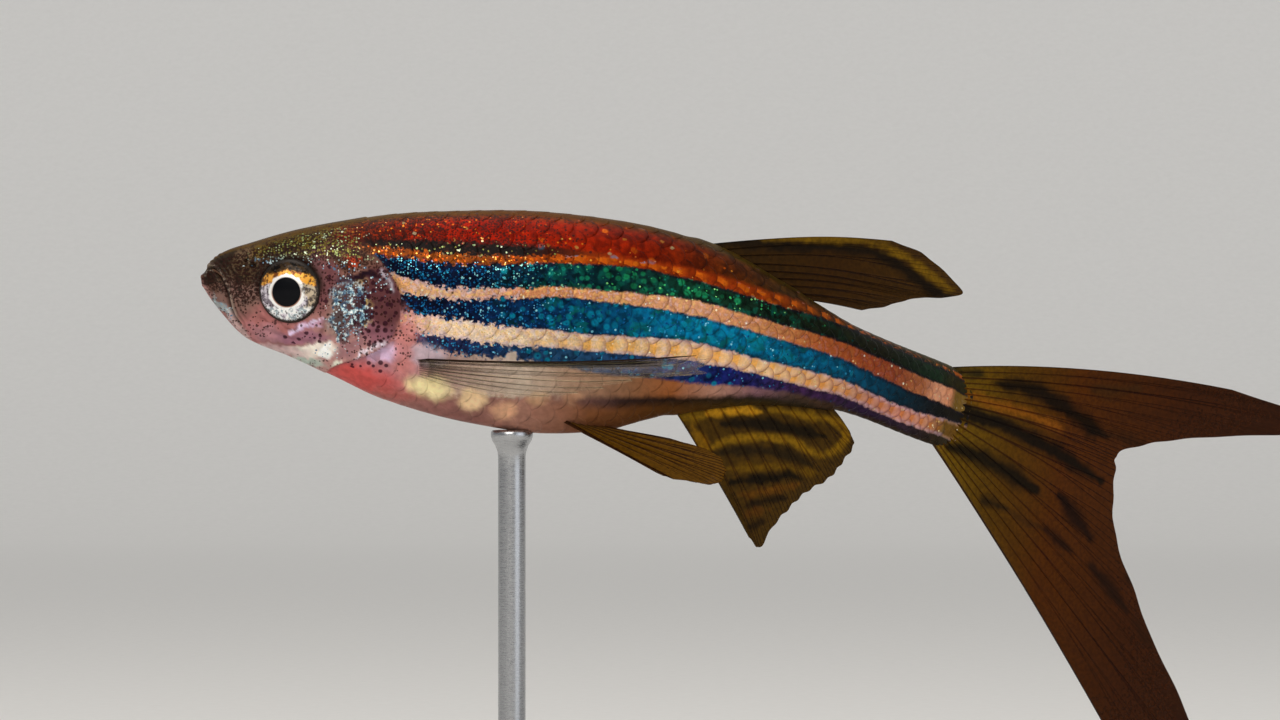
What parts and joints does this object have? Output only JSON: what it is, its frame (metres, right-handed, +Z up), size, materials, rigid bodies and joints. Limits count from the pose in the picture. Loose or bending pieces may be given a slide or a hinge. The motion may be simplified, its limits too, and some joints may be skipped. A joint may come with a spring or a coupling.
{
  "type": "zebra danio model",
  "caption": "Still, life-size model of a long-finned zebra danio, swimming with its tail bent aside, on a small oval stand.",
  "frame": {"origin": "centre of the stand base's underside, on the surface it stands on", "axes": "+Z up; the fish faces -X; its left flank faces -Y"},
  "size_m": [0.0524, 0.028, 0.0283],
  "materials": {
    "head_skin": "moist skin, pink and olive with dark specks, silver and blue-green gloss on the gill cover",
    "trunk_skin": "fine scales, orange-red back, dark blue stripes with blue-green glints between salmon and cream stripes, pale belly",
    "eye": "clear cornea over a silver-gold iris and a round black pupil",
    "fin_membrane": "thin, translucent olive-yellow membrane with fine rays and dark stripes",
    "stand_base": "satin black",
    "stand_rod": "fine brushed steel"
  },
  "bodies": {
    "root": {"head": "head_skin", "lower_jaw": "head_skin", "eye_left": "eye", "eye_right": "eye", "trunk": "trunk_skin", "tail_stalk": "trunk_skin", "dorsal_fin": "fin_membrane", "anal_fin": "fin_membrane", "caudal_fin_upper": "fin_membrane", "caudal_fin_lower": "fin_membrane", "pectoral_fin_left": "fin_membrane", "pectoral_fin_right": "fin_membrane", "pelvic_fin_left": "fin_membrane", "pelvic_fin_right": "fin_membrane", "stand_base": "stand_base", "stand_rod": "stand_rod"}
  },
  "joints": []
}
